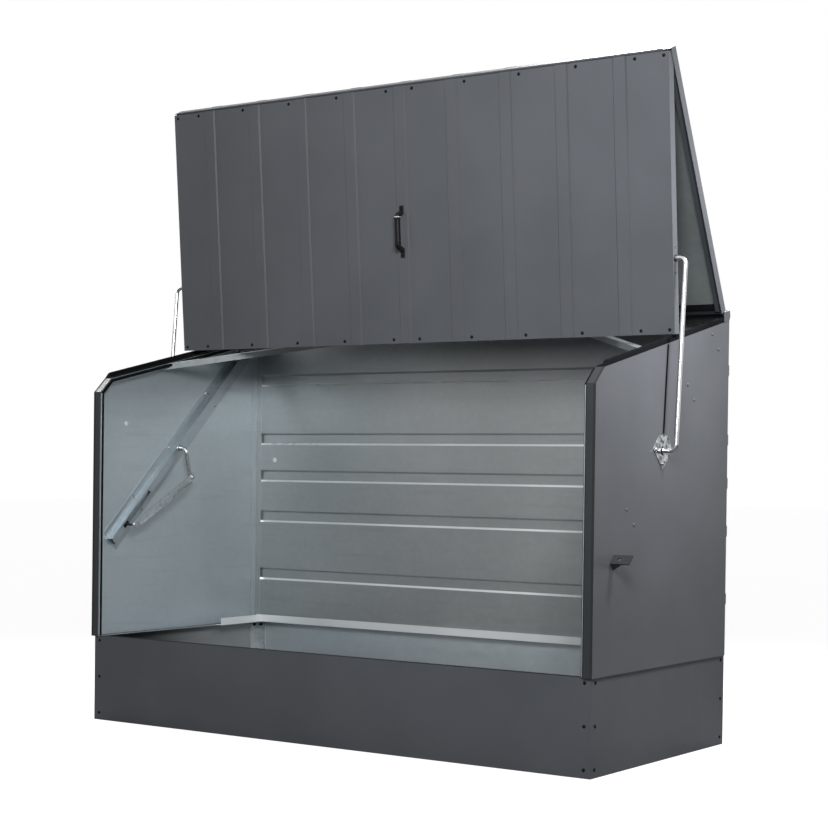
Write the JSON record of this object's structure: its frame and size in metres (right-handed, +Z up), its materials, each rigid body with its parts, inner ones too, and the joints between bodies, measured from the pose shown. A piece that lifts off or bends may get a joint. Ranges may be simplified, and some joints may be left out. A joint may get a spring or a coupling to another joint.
{
  "type": "bicycle locker",
  "caption": "Steel bicycle locker with a plinth, ribbed back, side walls and a ridged lid whose front folds up on side rods.",
  "frame": {"origin": "centre of the four ground anchor holes, on the ground in the middle of the plinth", "axes": "+Z up, +X across the width to the right as seen from the front, front towards -Y"},
  "size_m": [2.068, 0.8532, 2.1247],
  "materials": {
    "grey_paint": "smooth grey powder coat with a fine grain",
    "galvanised": "galvanised sheet with a faint spangle",
    "bright_zinc": "bright zinc plating",
    "black_plastic": "fine grained black plastic",
    "black_metal": "black coated steel",
    "black_rubber": "matt black rubber",
    "steel_pin": "plain steel"
  },
  "bodies": {
    "carcass": {"plinth_front": "grey_paint", "plinth_back": "grey_paint", "plinth_left": "grey_paint", "plinth_right": "grey_paint", "plinth_corner_angles": "galvanised", "plinth_bolts": "black_metal", "side_wall_left": "grey_paint", "side_wall_right": "grey_paint", "back_panel": "grey_paint", "corner_post_left": "galvanised", "corner_post_right": "galvanised", "floor_rail_back": "galvanised", "floor_rail_left": "galvanised", "floor_rail_right": "galvanised", "top_rail": "grey_paint", "top_rail_caps": "grey_paint", "corner_brace_left": "galvanised", "corner_brace_right": "galvanised", "roof_hinge_fixed_leaves": "steel_pin", "roof_hinge_fixed_pins": "steel_pin", "assist_channel_left": "galvanised", "assist_channel_right": "galvanised", "channel_bolts": "bright_zinc", "arm_bracket_left": "galvanised", "arm_bracket_right": "galvanised", "arm_bush_left": "black_plastic", "arm_bush_right": "black_plastic", "bracket_bolts": "bright_zinc", "lock_lug_left": "black_metal", "lock_lug_right": "black_metal", "guard_strip_left": "black_rubber", "guard_strip_right": "black_rubber", "strut_tube_left": "black_metal", "strut_tube_right": "black_metal"},
    "roof": {"roof_panel": "grey_paint", "roof_side_rail_left": "black_metal", "roof_side_rail_right": "black_metal", "roof_hinge_moving_leaves": "steel_pin", "roof_hinge_moving_pins": "steel_pin", "door_hinge_upper_leaf": "steel_pin", "door_hinge_pin": "steel_pin"},
    "door": {"door_panel": "grey_paint", "door_hinge_lower_leaf": "steel_pin", "door_bottom_rail": "galvanised", "door_bolts": "black_metal", "door_handle": "black_plastic", "handle_bolts": "black_metal", "arm_sockets": "black_plastic"},
    "arms": {"lid_arm_left": "bright_zinc", "lid_arm_right": "bright_zinc", "arm_collar_left": "bright_zinc", "arm_collar_right": "bright_zinc"},
    "links": {"assist_link_left": "galvanised", "assist_link_right": "galvanised"},
    "sliders": {"assist_slider_left": "black_plastic", "assist_slider_right": "black_plastic", "strut_rod_left": "bright_zinc", "strut_rod_right": "bright_zinc"}
  },
  "joints": [
    {"name": "arm_pivot", "type": "hinge", "parent": "carcass", "child": "arms", "pos_m": [0, -0.0295, 0.92185], "axis": [1, 0, 0], "range_deg": [0, 139.88]},
    {"name": "door_socket", "type": "hinge", "parent": "arms", "child": "door", "pos_m": [0, 0.01846, 1.49578], "axis": [1, 0, 0], "range_deg": [-144.41, 0]},
    {"name": "door_hinge", "type": "hinge", "parent": "door", "child": "roof", "pos_m": [0, -0.04447, 2.10422], "axis": [1, 0, 0], "range_deg": [0, 82.12]},
    {"name": "link_pivot", "type": "hinge", "parent": "arms", "child": "links", "pos_m": [0, -0.00727, 0.81923], "axis": [1, 0, 0], "range_deg": [-119.07, 0]},
    {"name": "slider_run", "type": "slide", "parent": "carcass", "child": "sliders", "axis": [0, 0.7058, 0.7084], "range_m": [0, 0.14688]}
  ],
  "couplings": [
    {"joint": "door_socket", "follows": "arm_pivot", "ratio": -1.0322},
    {"joint": "door_hinge", "follows": "arm_pivot", "ratio": 0.58692},
    {"joint": "link_pivot", "follows": "arm_pivot", "ratio": -0.85105},
    {"joint": "slider_run", "follows": "arm_pivot", "m_per_rad": 0.06015}
  ]
}
